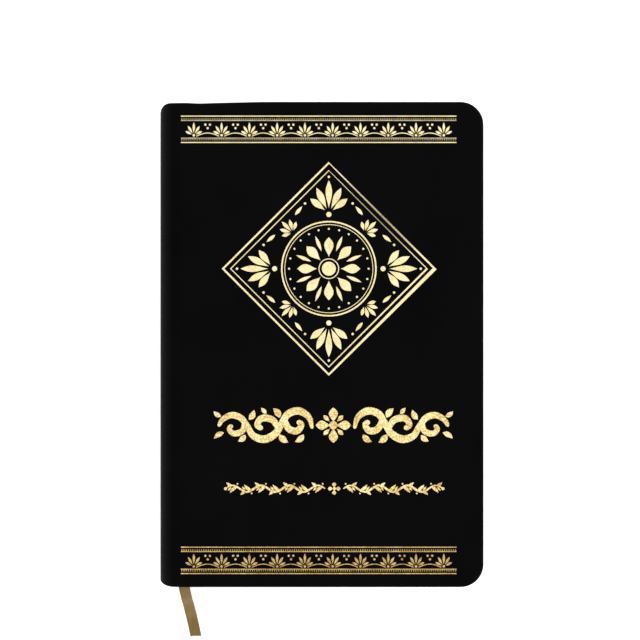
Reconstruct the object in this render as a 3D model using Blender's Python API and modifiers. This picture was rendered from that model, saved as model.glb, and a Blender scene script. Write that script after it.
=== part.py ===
"""A leather-bound Bible, closed and lying on its back cover, in metres with +Z up.

The spine is at -X, the fore-edge at +X, the head at +Y and the tail at -Y. The
origin is under the middle of the book, on the plane that it lies on. The book
opens in the middle about a line down the outside of the spine, its front cover
opens about the front shoulder, and the leaves next to each opening follow.
"""
import math

import bmesh
import bpy
from mathutils import Matrix, Vector

MM = 0.001

# Whole book
COVER_WIDTH = 148.2 * MM
COVER_HEIGHT = 222.0 * MM
THICKNESS = 30.0 * MM
COVER_CORNER = 10.5 * MM
MIDDLE = THICKNESS / 2

# Spine: half an ellipse from one shoulder round to the other
SPINE_DEPTH = 14.0 * MM
SPINE_X = -COVER_WIDTH / 2
SHOULDER_X = SPINE_X + SPINE_DEPTH
SPINE_LEATHER = 1.0 * MM
SPINE_SEGMENTS = 14
LINING_OFFSET = 1.25 * MM
LINING_THICKNESS = 0.45 * MM
LINING_HALF = 94.0 * MM
THREAD_OFFSET = 1.5 * MM
THREAD_RADIUS = 0.22 * MM
THREAD_Y = 99.5 * MM
THREAD_WAVE = 1.2 * MM
BAND_OFFSET = 2.3 * MM
BAND_RADIUS = 0.9 * MM
FOLD_OFFSET = 2.0 * MM

# Joints
AXIS_CLEARANCE = 0.2 * MM
OPENING_AXIS = Vector((SPINE_X - AXIS_CLEARANCE, 0, MIDDLE))
COVER_AXIS = Vector((SHOULDER_X + 0.15 * MM, 0, THICKNESS + 0.15 * MM))

# Covers: leather folded round a board, with a paper pastedown inside
COVER_X = COVER_AXIS.x + 0.15 * MM
COVER_LEATHER = 0.8 * MM
TURN_IN = 0.4 * MM
TURN_IN_WIDTH = 12.0 * MM
BOARD_THICKNESS = 0.9 * MM
BOARD_FIT = 0.25 * MM
PASTEDOWN_THICKNESS = 0.15 * MM
PASTEDOWN_MARGIN = 2.6 * MM
FLYLEAF_THICKNESS = 0.2 * MM
PAPER_GAP = 0.2 * MM

# Page block: 5.5 by 8.5 inches, rounded at the spine and hollow at the fore-edge
PAGE_HALF = 107.95 * MM
PAGE_CORNER = 8.0 * MM
FORE_EDGE_X = 68.2 * MM
FORE_EDGE_HOLLOW = 2.8 * MM
BLOCK_HALF = 11.3 * MM
SIGNATURES_PER_HALF = 6
LEAVES_PER_HALF = 2
LEAVES_THICKNESS = 0.4 * MM
RIBBON_CHANNEL = 0.35 * MM

# Gold foil on the front cover: centre x, centre y, width and height of each film
FOIL_GAP = 0.05 * MM
FOIL_THICKNESS = 0.05 * MM
FOIL_FILMS = {
    "foil_band_head": (1.45 * MM, 98.4 * MM, 121.3 * MM, 13.0 * MM),
    "foil_band_tail": (1.45 * MM, -98.7 * MM, 121.3 * MM, 13.0 * MM),
    "foil_title_ornament": (5.4 * MM, -36.9 * MM, 109.6 * MM, 16.4 * MM),
    "foil_lower_ornament": (5.8 * MM, -65.9 * MM, 100.4 * MM, 6.1 * MM),
}
MEDALLION_CENTRE = (3.34 * MM, 34.65 * MM)
MEDALLION_HALF_DIAGONAL = 49.6 * MM

# Ribbon marker: from under the headband, down the middle opening, out at the
# tail and down to the table. The route's points are its centre line in mm.
RIBBON_WIDTH = 5.0 * MM
RIBBON_THICKNESS = 0.3 * MM
RIBBON_STEPS = 4
RIBBON_ROUTE = [
    (-68.0, 109.4, 15.0),
    (-68.1, 104.0, 15.0),
    (-68.3, 90.0, 15.0),
    (-68.4, 70.0, 15.0),
    (-68.3, 50.0, 15.0),
    (-68.0, 30.0, 15.0),
    (-67.7, 10.0, 15.0),
    (-67.4, -10.0, 15.0),
    (-67.1, -30.0, 15.0),
    (-66.8, -50.0, 15.0),
    (-66.4, -68.0, 15.0),
    (-65.8, -84.0, 15.0),
    (-65.0, -97.0, 15.0),
    (-64.3, -104.0, 15.0),
    (-63.75, -108.5, 15.0),
    (-63.15, -111.9, 14.47),
    (-62.45, -115.3, 12.72),
    (-61.95, -117.8, 10.26),
    (-61.6, -119.2, 7.62),
    (-61.3, -120.7, 4.99),
    (-60.75, -123.2, 2.53),
    (-59.95, -126.6, 0.78),
    (-59.1, -130.3, 0.25),
    (-58.6, -132.7, 0.25),
    (-58.1, -135.0, 0.25),
]

LEATHER = ((0.006, 0.006, 0.006), 0.45, 0.0)
BOARD = ((0.30, 0.27, 0.22), 0.85, 0.0)
PAPER = ((0.78, 0.73, 0.62), 0.8, 0.0)
ENDPAPER = ((0.62, 0.56, 0.44), 0.85, 0.0)
LINING = ((0.70, 0.68, 0.60), 0.9, 0.0)
THREAD = ((0.80, 0.77, 0.68), 0.8, 0.0)
BAND = ((0.45, 0.28, 0.10), 0.6, 0.0)
SATIN = ((0.35, 0.22, 0.11), 0.4, 0.0)
GOLD = ((0.83, 0.68, 0.42), 0.35, 1.0)

for leftover in list(bpy.data.objects):
    bpy.data.objects.remove(leftover, do_unlink=True)

BOOK = bpy.data.collections.new("bible")
CUTTERS = bpy.data.collections.new("bible_cutters")
bpy.context.scene.collection.children.link(BOOK)
bpy.context.scene.collection.children.link(CUTTERS)


def paint(obj, finish):
    """Gives the object a material of its own: colour, roughness and metallic."""
    colour, roughness, metallic = finish
    material = bpy.data.materials.new(obj.name)
    material.use_nodes = True
    shader = material.node_tree.nodes["Principled BSDF"]
    shader.inputs["Base Color"].default_value = (*colour, 1.0)
    shader.inputs["Roughness"].default_value = roughness
    shader.inputs["Metallic"].default_value = metallic
    obj.data.materials.append(material)


def hang(obj, axis):
    """Parents a moving piece to the empty on its joint's axis, without moving it."""
    if axis:
        obj.parent = axis
        obj.matrix_parent_inverse = Matrix.Translation(axis.location).inverted()


def joint_axis(name, location):
    """An empty on a joint's axis."""
    axis = bpy.data.objects.new(name, None)
    axis.location = location
    axis.empty_display_size = 10 * MM
    BOOK.objects.link(axis)
    return axis


def solid(name, bm, finish, axis=None):
    """Turns a bmesh into a named, shaded and painted object of the book."""
    mesh = bpy.data.meshes.new(name)
    bm.to_mesh(mesh)
    bm.free()
    obj = bpy.data.objects.new(name, mesh)
    BOOK.objects.link(obj)
    mesh.shade_smooth()
    mesh.set_sharp_from_angle(angle=math.radians(35))
    paint(obj, finish)
    hang(obj, axis)
    return obj


def box(x_range, half_height, z_range):
    """A box as a bmesh, centred on y = 0."""
    bm = bmesh.new()
    bmesh.ops.create_cube(bm, size=1.0)
    size = Vector((x_range[1] - x_range[0], 2 * half_height, z_range[1] - z_range[0]))
    middle = Vector((sum(x_range) / 2, 0, sum(z_range) / 2))
    place = Matrix.Translation(middle) @ Matrix.Diagonal((*size, 1.0))
    bmesh.ops.transform(bm, matrix=place, verts=bm.verts)
    return bm


def round_fore_corners(bm, x_end, radius, segments=6):
    """Rounds, in plan, the two corners at the fore-edge."""
    upright = [
        edge
        for edge in bm.edges
        if all(abs(vert.co.x - x_end) < 1e-6 for vert in edge.verts)
        and abs(edge.verts[0].co.y - edge.verts[1].co.y) < 1e-6
    ]
    bmesh.ops.bevel(bm, geom=upright, offset=radius, segments=segments, profile=0.5, affect="EDGES")


def round_fold(bm, x_fold, radius):
    """Rounds the folded edge next to the spine."""
    fold = [
        edge
        for edge in bm.edges
        if all(abs(vert.co.x - x_fold) < 1e-6 for vert in edge.verts)
        and abs(edge.verts[0].co.y - edge.verts[1].co.y) > PAGE_HALF
    ]
    bmesh.ops.bevel(bm, geom=fold, offset=radius, segments=3, profile=0.5, affect="EDGES")


def layer(side, near, far):
    """The z range of a layer, given its distances from the middle of the book."""
    return tuple(sorted((MIDDLE + side * near, MIDDLE + side * far)))


def sheet(name, x_range, half_height, z_range, corner, finish, axis=None):
    """A flat sheet or board with round fore-edge corners."""
    bm = box(x_range, half_height, z_range)
    round_fore_corners(bm, x_range[1], corner)
    return solid(name, bm, finish, axis)


def cutter(name, x_range, half_height, z_range, corner):
    """A sheet that only cuts."""
    obj = sheet(name, x_range, half_height, z_range, corner, BOARD)
    BOOK.objects.unlink(obj)
    CUTTERS.objects.link(obj)
    obj.hide_render = True
    obj.display_type = "WIRE"
    return obj


def cut(obj, tool):
    difference = obj.modifiers.new(tool.name, "BOOLEAN")
    difference.operation = "DIFFERENCE"
    difference.solver = "EXACT"
    difference.object = tool


def spine_point(offset, turn, y):
    """A point at an offset inside the spine; turn runs from -90 to 90 degrees."""
    x = SHOULDER_X - (SPINE_DEPTH - offset) * math.cos(turn)
    z = MIDDLE + (MIDDLE - offset) * math.sin(turn)
    return Vector((x, y, z))


def spine_turns(side, offset, clearance):
    """Evenly spaced turns from the middle of the spine out to one shoulder."""
    first = math.asin(clearance / (MIDDLE - offset))
    step = (math.pi / 2 - first) / SPINE_SEGMENTS
    return [side * (first + step * index) for index in range(SPINE_SEGMENTS + 1)]


def spine_shell(name, side, offset, thickness, half_height, finish, axis=None):
    """Half of a curved layer of the spine, as a bent grid made solid."""
    turns = spine_turns(side, offset, AXIS_CLEARANCE)
    bm = bmesh.new()
    bmesh.ops.create_grid(bm, x_segments=SPINE_SEGMENTS, y_segments=1, size=1.0)
    for vert in bm.verts:
        turn = turns[round((vert.co.x + 1) / 2 * SPINE_SEGMENTS)]
        vert.co = spine_point(offset, turn, half_height * (1 if vert.co.y > 0 else -1))
    bm.normal_update()
    outward = sum((face.normal.x for face in bm.faces), 0.0)
    if outward > 0:
        bmesh.ops.reverse_faces(bm, faces=bm.faces)
    obj = solid(name, bm, finish, axis)
    shell = obj.modifiers.new("thickness", "SOLIDIFY")
    shell.thickness = thickness
    shell.offset = -1.0
    return obj


def tube(name, points, radius, finish, axis=None):
    """A round cord through the points, with closed ends."""
    curve = bpy.data.curves.new(name, "CURVE")
    curve.dimensions = "3D"
    curve.bevel_depth = radius
    curve.bevel_resolution = 2
    curve.use_fill_caps = True
    spline = curve.splines.new("POLY")
    spline.points.add(len(points) - 1)
    for slot, point in zip(spline.points, points):
        slot.co = (*point, 1.0)
    obj = bpy.data.objects.new(name, curve)
    BOOK.objects.link(obj)
    paint(obj, finish)
    hang(obj, axis)
    return obj


def cover(label, side, axis=None):
    """One cover: leather folded round a board, and the pastedown inside it."""
    outer = MIDDLE
    board_outer = outer - COVER_LEATHER - BOARD_FIT
    board_inner = board_outer - BOARD_THICKNESS
    inner = board_inner - BOARD_FIT - TURN_IN
    x_end = COVER_WIDTH / 2
    half = COVER_HEIGHT / 2
    leather = sheet(f"{label}_cover_leather", (COVER_X, x_end), half, layer(side, inner, outer),
                    COVER_CORNER, LEATHER, axis)

    wall = COVER_LEATHER
    pocket = cutter(f"{label}_pocket", (COVER_X + wall, x_end - wall), half - wall,
                    layer(side, inner + TURN_IN, outer - COVER_LEATHER), COVER_CORNER - wall)
    window = cutter(f"{label}_window", (COVER_X + TURN_IN_WIDTH, x_end - TURN_IN_WIDTH),
                    half - TURN_IN_WIDTH, layer(side, inner - MM, inner + TURN_IN + BOARD_FIT / 2),
                    0.5 * MM)
    cut(leather, pocket)
    cut(leather, window)

    inset = wall + BOARD_FIT
    sheet(f"{label}_board", (COVER_X + inset, x_end - inset), half - inset,
          layer(side, board_inner, board_outer), COVER_CORNER - inset, BOARD, axis)

    paste_outer = inner - PAPER_GAP
    sheet(f"{label}_pastedown", (COVER_X + PASTEDOWN_MARGIN, x_end - PASTEDOWN_MARGIN),
          half - PASTEDOWN_MARGIN, layer(side, paste_outer - PASTEDOWN_THICKNESS, paste_outer),
          COVER_CORNER - PASTEDOWN_MARGIN, ENDPAPER, axis)


def flyleaf(label, side, axis=None):
    """The free endpaper, hinged at the shoulder and lying on the page block."""
    near = BLOCK_HALF + PAPER_GAP
    sheet(f"{label}_flyleaf", (COVER_X + PAPER_GAP, FORE_EDGE_X + FORE_EDGE_HOLLOW), PAGE_HALF,
          layer(side, near, near + FLYLEAF_THICKNESS), PAGE_CORNER, ENDPAPER, axis)


def pages(name, side, near, far, axis=None):
    """A folded gathering of pages between two distances from the middle."""
    fold_reach = math.sqrt(1 - (far / (MIDDLE - FOLD_OFFSET)) ** 2)
    x_fold = SHOULDER_X - (SPINE_DEPTH - FOLD_OFFSET) * fold_reach - 0.15 * (far - near)
    x_fold = max(x_fold, SPINE_X + FOLD_OFFSET)
    x_fore = FORE_EDGE_X + FORE_EDGE_HOLLOW * (far / BLOCK_HALF) ** 2
    bm = box((x_fold, x_fore), PAGE_HALF, layer(side, near, far))
    round_fore_corners(bm, x_fore, PAGE_CORNER)
    round_fold(bm, x_fold, 0.45 * (far - near))
    return solid(name, bm, PAPER, axis)


def block_half(side, axis=None, leaves_axis=None):
    """Half of the page block: its signatures, and the leaves at the middle opening."""
    near = RIBBON_CHANNEL
    for index in reversed(range(LEAVES_PER_HALF)):
        far = near + LEAVES_THICKNESS
        label = "back" if side < 0 else "front"
        pages(f"leaves_{label}_{index + 1}", side, near, far, leaves_axis)
        near = far + PAPER_GAP
    pitch = (BLOCK_HALF + PAPER_GAP - near) / SIGNATURES_PER_HALF
    for index in range(SIGNATURES_PER_HALF):
        start = near + pitch * index
        number = SIGNATURES_PER_HALF + (index + 1 if side > 0 else -index)
        pages(f"signature_{number:02d}", side, start, start + pitch - PAPER_GAP, axis)


def spine_half(label, side, axis=None):
    """Half of the spine: leather, lining, headband, tailband and kettle stitches."""
    spine_shell(f"spine_leather_{label}", side, 0, SPINE_LEATHER, COVER_HEIGHT / 2, LEATHER, axis)
    spine_shell(f"spine_lining_{label}", side, LINING_OFFSET, LINING_THICKNESS, LINING_HALF,
                LINING, axis)
    end_clearance = RIBBON_CHANNEL + 0.1 * MM
    for end, way in (("head", 1), ("tail", -1)):
        turns = spine_turns(side, BAND_OFFSET, end_clearance)
        y_band = way * (PAGE_HALF + BAND_RADIUS + 0.3 * MM)
        tube(f"{end}band_{label}", [spine_point(BAND_OFFSET, turn, y_band) for turn in turns],
             BAND_RADIUS, BAND, axis)
        turns = spine_turns(side, THREAD_OFFSET, end_clearance)
        stitches = [
            spine_point(THREAD_OFFSET, turn, way * THREAD_Y + THREAD_WAVE * (index % 2 - 0.5))
            for index, turn in enumerate(turns)
        ]
        tube(f"kettle_stitch_{end}_{label}", stitches, THREAD_RADIUS, THREAD, axis)


def foil(axis):
    """The stamped gold films, plain here, just above the front cover's leather."""
    z_range = (THICKNESS + FOIL_GAP, THICKNESS + FOIL_GAP + FOIL_THICKNESS)
    for name, (x, y, width, height) in FOIL_FILMS.items():
        bm = box((x - width / 2, x + width / 2), height / 2, z_range)
        bmesh.ops.translate(bm, vec=(0, y, 0), verts=bm.verts)
        solid(name, bm, GOLD, axis)
    bm = bmesh.new()
    bmesh.ops.create_cone(bm, cap_ends=True, segments=4, radius1=MEDALLION_HALF_DIAGONAL,
                          radius2=MEDALLION_HALF_DIAGONAL, depth=FOIL_THICKNESS)
    bmesh.ops.translate(bm, vec=(*MEDALLION_CENTRE, sum(z_range) / 2), verts=bm.verts)
    solid("foil_medallion", bm, GOLD, axis)


def smooth_route(points, steps):
    """A Catmull-Rom curve through the points."""
    nodes = [Vector(point) * MM for point in points]
    ends = [2 * nodes[0] - nodes[1], *nodes, 2 * nodes[-1] - nodes[-2]]
    route = []
    for before, start, stop, after in zip(ends, ends[1:], ends[2:], ends[3:]):
        for step in range(steps):
            t = step / steps
            route.append(0.5 * (2 * start + (stop - before) * t
                                + (2 * before - 5 * start + 4 * stop - after) * t ** 2
                                + (3 * start - before - 3 * stop + after) * t ** 3))
    return [*route, nodes[-1]]


def ribbon():
    """The marker: a strip bent along its route and made solid."""
    route = smooth_route(RIBBON_ROUTE, RIBBON_STEPS)
    last = len(route) - 1
    bm = bmesh.new()
    bmesh.ops.create_grid(bm, x_segments=last, y_segments=1, size=1.0)
    for vert in bm.verts:
        index = round((vert.co.x + 1) / 2 * last)
        along = route[min(index + 1, last)] - route[max(index - 1, 0)]
        across = along.cross(Vector((0, 0, 1))).normalized()
        vert.co = route[index] + across * (RIBBON_WIDTH / 2) * (1 if vert.co.y > 0 else -1)
    obj = solid("ribbon_marker", bm, SATIN)
    strip = obj.modifiers.new("thickness", "SOLIDIFY")
    strip.thickness = RIBBON_THICKNESS
    strip.offset = 0.0
    return obj


opening_axis = joint_axis("block_opening_axis", OPENING_AXIS)
back_leaves_axis = joint_axis("back_leaves_axis", OPENING_AXIS)
cover_axis = joint_axis("front_cover_axis", COVER_AXIS)

cover("back", -1)
flyleaf("back", -1)
block_half(-1, None, back_leaves_axis)
spine_half("back", -1)
ribbon()

block_half(1, opening_axis, opening_axis)
spine_half("front", 1, opening_axis)
flyleaf("front", 1, cover_axis)
cover("front", 1, cover_axis)
foil(cover_axis)
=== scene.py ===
"""Looks of the closed leather-bound Bible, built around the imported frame, in metres.

The book lies on its back cover with the spine at -X and the head at +Y. Sections:
measures, mesh helpers, materials, leather, pages, lining and sewing, ribbon, gold foil,
carried CAD nodes, stage.
"""
import math
import random

import bmesh
import bpy
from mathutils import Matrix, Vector


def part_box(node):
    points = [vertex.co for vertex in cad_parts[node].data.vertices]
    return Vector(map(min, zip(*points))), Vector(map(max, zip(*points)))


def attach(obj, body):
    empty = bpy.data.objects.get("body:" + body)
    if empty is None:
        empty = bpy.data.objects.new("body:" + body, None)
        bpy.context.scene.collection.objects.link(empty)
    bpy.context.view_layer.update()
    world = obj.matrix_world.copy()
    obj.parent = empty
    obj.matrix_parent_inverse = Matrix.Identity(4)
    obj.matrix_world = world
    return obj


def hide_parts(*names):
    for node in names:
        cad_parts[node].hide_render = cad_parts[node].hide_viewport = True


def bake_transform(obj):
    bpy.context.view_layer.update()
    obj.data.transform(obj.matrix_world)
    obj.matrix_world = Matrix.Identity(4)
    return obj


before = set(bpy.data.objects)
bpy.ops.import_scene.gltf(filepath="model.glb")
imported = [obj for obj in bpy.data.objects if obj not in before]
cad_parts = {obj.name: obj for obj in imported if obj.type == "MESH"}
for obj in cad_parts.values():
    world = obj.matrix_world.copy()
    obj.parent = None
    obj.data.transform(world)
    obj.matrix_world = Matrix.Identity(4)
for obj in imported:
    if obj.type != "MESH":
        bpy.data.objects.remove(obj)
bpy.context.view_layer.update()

MM = 0.001
RANDOM = random.Random(7)

# ---------------------------------------------------------------- measures
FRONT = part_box("front_cover_leather")
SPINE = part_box("spine_leather_back")
THICKNESS = FRONT[1].z
MIDDLE = THICKNESS / 2
HALF_HEIGHT = FRONT[1].y
FORE_X = FRONT[1].x
SPINE_X = SPINE[0].x
SHOULDER_X = SPINE[1].x
SPINE_DEPTH = SHOULDER_X - SPINE_X
COVER_THICKNESS = THICKNESS - FRONT[0].z
CORNER = 10.5 * MM
EDGE_ROLL = COVER_THICKNESS / 2
SPINE_ROLL = 0.65 * MM
SKIN_THICKNESS = 0.5 * MM
TURN_IN_WIDTHS = (3.5 * MM, 8.4 * MM)
SEAM_TURN = math.radians(45)
HEADCAP_SIZE = (4.0 * MM, 4.0 * MM)
TAILCAP_SIZE = (6.0 * MM, 2.5 * MM)

PAGE_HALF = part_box("signature_01")[1].y
PAGE_CORNER = 8.0 * MM
FORE_EDGE_HOLLOW = 2.8 * MM
FORE_EDGE_MIDDLE = 68.2 * MM
BLOCK_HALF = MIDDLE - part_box("signature_01")[0].z
GUTTER_X = SPINE_X + 0.98 * MM


# ------------------------------------------------------------ mesh helpers
def mesh_object(name, verts, faces, smooth=40):
    """An object from points and faces, welded, facing out and smooth."""
    mesh = bpy.data.meshes.new(name)
    mesh.from_pydata([tuple(vert) for vert in verts], [], faces)
    bm = bmesh.new()
    bm.from_mesh(mesh)
    bmesh.ops.remove_doubles(bm, verts=bm.verts, dist=1e-7)
    bmesh.ops.recalc_face_normals(bm, faces=bm.faces)
    bm.to_mesh(mesh)
    bm.free()
    mesh.shade_smooth()
    mesh.set_sharp_from_angle(angle=math.radians(smooth))
    obj = bpy.data.objects.new(name, mesh)
    bpy.context.scene.collection.objects.link(obj)
    return obj


def lattice_faces(columns, rows, closed_rows=False, start=0):
    """Quads over a lattice of columns by rows, numbered row by row in a column."""
    faces = []
    for i in range(columns - 1):
        for j in range(rows if closed_rows else rows - 1):
            following = (j + 1) % rows
            faces.append((start + i * rows + j, start + (i + 1) * rows + j,
                          start + (i + 1) * rows + following, start + i * rows + following))
    return faces


def face_out(obj, outward):
    """Turns an open surface over if it faces against the given direction."""
    mesh = obj.data
    total = sum((face.normal * face.area for face in mesh.polygons), Vector())
    if total.dot(Vector(outward)) < 0:
        mesh.flip_normals()


def thicken(obj, thickness, offset=-1.0):
    shell = obj.modifiers.new("thickness", "SOLIDIFY")
    shell.thickness = thickness
    shell.offset = offset
    return obj


def spread(start, stop, count):
    return [start + (stop - start) * index / count for index in range(count + 1)]


def smoothstep(value):
    value = min(max(value, 0.0), 1.0)
    return value * value * (3 - 2 * value)


CURVE_STEPS = 8


def through(points, closed=False):
    """A Catmull-Rom curve through flat or solid points."""
    if len(points) < 3:
        return list(points)
    if closed:
        ends = [points[-1], *points, points[0], points[1]]
    else:
        first = tuple(2 * a - b for a, b in zip(points[0], points[1]))
        last = tuple(2 * a - b for a, b in zip(points[-1], points[-2]))
        ends = [first, *points, last]
    line = []
    for before, start, stop, after in zip(ends, ends[1:], ends[2:], ends[3:]):
        for step in range(CURVE_STEPS):
            t = step / CURVE_STEPS
            line.append(tuple(
                0.5 * (2 * b + (c - a) * t + (2 * a - 5 * b + 4 * c - d) * t * t
                       + (3 * b - a - 3 * c + d) * t ** 3)
                for a, b, c, d in zip(before, start, stop, after)))
    return line if closed else [*line, points[-1]]


# --------------------------------------------------------------- materials
class Nodes:
    """A small wrapper that builds a material's node tree."""

    def __init__(self, name):
        self.material = bpy.data.materials.new(name)
        self.material.use_nodes = True
        self.tree = self.material.node_tree
        self.shader = self.tree.nodes["Principled BSDF"]
        self.place = self.add("ShaderNodeTexCoord").outputs["Object"]

    def add(self, kind, inputs=None, **settings):
        node = self.tree.nodes.new(kind)
        for key, value in settings.items():
            setattr(node, key, value)
        for key, value in (inputs or {}).items():
            self.link(value, node.inputs[key])
        return node

    def link(self, value, socket):
        if isinstance(value, bpy.types.NodeSocket):
            self.tree.links.new(value, socket)
        else:
            socket.default_value = value

    def set(self, **values):
        for key, value in values.items():
            self.link(value, self.shader.inputs[key.replace("_", " ")])

    def stretched(self, x, y, z):
        """The place, scaled differently along each axis."""
        return self.add("ShaderNodeMapping", {"Vector": self.place, "Scale": (x, y, z)}).outputs[0]

    def noise(self, scale, detail=2.0, rough=0.5, place=None):
        inputs = {"Vector": place or self.place, "Scale": scale, "Detail": detail, "Roughness": rough}
        return self.add("ShaderNodeTexNoise", inputs).outputs["Fac"]

    def cells(self, scale, smooth):
        return self.add("ShaderNodeTexVoronoi", {"Vector": self.place, "Scale": scale, "Smoothness": smooth},
                        feature="SMOOTH_F1").outputs["Distance"]

    def wave(self, scale, axis):
        return self.add("ShaderNodeTexWave", {"Vector": self.place, "Scale": scale},
                        bands_direction=axis).outputs["Fac"]

    def math(self, operation, first, second=0.0, clamp=False):
        node = self.add("ShaderNodeMath", operation=operation, use_clamp=clamp)
        self.link(first, node.inputs[0])
        self.link(second, node.inputs[1])
        return node.outputs[0]

    def ramp(self, value, *stops):
        """A colour ramp; each stop is (position, colour or grey)."""
        node = self.add("ShaderNodeValToRGB", {"Fac": value})
        elements = node.color_ramp.elements
        while len(elements) < len(stops):
            elements.new(0.5)
        for element, (position, colour) in zip(elements, stops):
            element.position = position
            element.color = (*colour, 1.0) if isinstance(colour, tuple) else (colour,) * 3 + (1.0,)
        return node.outputs["Color"]

    def mix(self, factor, first, second):
        node = self.add("ShaderNodeMix", {"Factor": factor}, data_type="RGBA")
        colours = [socket for socket in node.inputs if socket.type == "RGBA"]
        self.link(first, colours[0])
        self.link(second, colours[1])
        return next(socket for socket in node.outputs if socket.type == "RGBA")

    def bump(self, height, strength, distance):
        node = self.add("ShaderNodeBump", {"Height": height, "Strength": strength, "Distance": distance})
        self.link(node.outputs["Normal"], self.shader.inputs["Normal"])


def leather():
    """Smooth near-black leather: fine pores, a soft cloudy tone and a dull sheen."""
    nodes = Nodes("cover_leather")
    pores = nodes.cells(2600.0, smooth=0.6)
    grain = nodes.noise(900.0, 5.0, 0.6)
    cloud = nodes.noise(28.0, 3.0, 0.55)
    height = nodes.math("MULTIPLY_ADD", grain, 0.6)
    nodes.link(pores, height.node.inputs[2])
    nodes.bump(height, 0.22, 0.05 * MM)
    colour = nodes.ramp(cloud, (0.3, (0.0017, 0.0017, 0.0017)), (0.7, (0.0025, 0.0025, 0.0025)))
    rough = nodes.ramp(grain, (0.3, 0.42), (0.75, 0.6))
    nodes.set(Base_Color=colour, Roughness=rough)
    nodes.shader.inputs["Specular IOR Level"].default_value = 0.012
    return nodes.material


def gold(name, light, deep, dark, mottle, metallic, roughness, fleck_scale=1500.0):
    """Stamping foil: a mottled leaf that lets a little of the leather's grain through."""
    nodes = Nodes(name)
    fleck = nodes.noise(fleck_scale, 4.0, 0.65)
    patch = nodes.noise(160.0, 3.0, 0.6)
    both = nodes.math("ADD", nodes.math("MULTIPLY", fleck, 0.65), nodes.math("MULTIPLY", patch, 0.35))
    colour = nodes.ramp(both, (0.5 - mottle, dark), (0.5, deep), (0.5 + mottle, light))
    rough = nodes.ramp(fleck, (0.35, roughness - 0.08), (0.7, roughness + 0.14))
    nodes.set(Base_Color=colour, Roughness=rough)
    nodes.shader.inputs["Metallic"].default_value = metallic
    nodes.bump(both, 0.25, 0.03 * MM)
    return nodes.material


def paper(name, pale, shade, grain=1400.0):
    """Uncoated paper: cloudy formation and fine fibres."""
    nodes = Nodes(name)
    fibre = nodes.noise(1.0, 4.0, 0.6, nodes.stretched(grain, grain * 0.25, grain))
    cloud = nodes.noise(55.0, 3.0, 0.5)
    both = nodes.math("ADD", nodes.math("MULTIPLY", fibre, 0.45), nodes.math("MULTIPLY", cloud, 0.55))
    nodes.set(Base_Color=nodes.ramp(both, (0.3, shade), (0.7, pale)))
    nodes.set(Roughness=nodes.ramp(fibre, (0.3, 0.78), (0.7, 0.92)))
    nodes.bump(fibre, 0.2, 0.02 * MM)
    return nodes.material


def gilt_edge():
    """Gold leaf over the trimmed page edges: fine streaks along each leaf."""
    nodes = Nodes("gilt_page_edge")
    sheets = nodes.noise(1.0, 3.0, 0.7, nodes.stretched(20.0, 20.0, 15000.0))
    worn = nodes.noise(120.0, 4.0, 0.6)
    both = nodes.math("ADD", nodes.math("MULTIPLY", sheets, 0.6), nodes.math("MULTIPLY", worn, 0.4))
    colour = nodes.ramp(both, (0.32, (0.26, 0.15, 0.04)), (0.5, (0.48, 0.31, 0.10)),
                        (0.68, (0.64, 0.46, 0.19)))
    nodes.set(Base_Color=colour, Roughness=nodes.ramp(both, (0.3, 0.5), (0.7, 0.3)))
    nodes.shader.inputs["Metallic"].default_value = 0.85
    nodes.bump(sheets, 0.5, 0.05 * MM)
    return nodes.material


def satin():
    """Tan satin: close warp threads along the ribbon, with a silky sheen."""
    nodes = Nodes("ribbon_satin")
    warp = nodes.wave(1500.0, "X")
    weft = nodes.wave(1100.0, "Y")
    silk = nodes.noise(1.0, 3.0, 0.6, nodes.stretched(1200.0, 60.0, 300.0))
    both = nodes.math("ADD", nodes.math("MULTIPLY", warp, 0.3), nodes.math("MULTIPLY", silk, 0.7))
    colour = nodes.ramp(both, (0.25, (0.150, 0.092, 0.027)), (0.75, (0.262, 0.172, 0.054)))
    nodes.set(Base_Color=colour, Roughness=nodes.ramp(silk, (0.3, 0.38), (0.7, 0.55)))
    nodes.shader.inputs["Specular IOR Level"].default_value = 0.25
    nodes.shader.inputs["Anisotropic"].default_value = 0.5
    nodes.bump(nodes.math("ADD", warp, nodes.math("MULTIPLY", weft, 0.5)), 0.3, 0.04 * MM)
    return nodes.material


def woven(name, pale, shade, pitch):
    """Plain-weave cloth with a thread every pitch."""
    nodes = Nodes(name)
    scale = 1 / (pitch * 2 * math.pi) * 2
    threads = nodes.math("MAXIMUM", nodes.wave(scale, "Y"), nodes.wave(scale, "Z"))
    fuzz = nodes.noise(2400.0, 3.0)
    both = nodes.math("ADD", nodes.math("MULTIPLY", threads, 0.7), nodes.math("MULTIPLY", fuzz, 0.3))
    nodes.set(Base_Color=nodes.ramp(both, (0.2, shade), (0.8, pale)))
    nodes.set(Roughness=nodes.ramp(fuzz, (0.3, 0.8), (0.7, 0.95)))
    nodes.bump(both, 0.5, 0.08 * MM)
    return nodes.material


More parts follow.
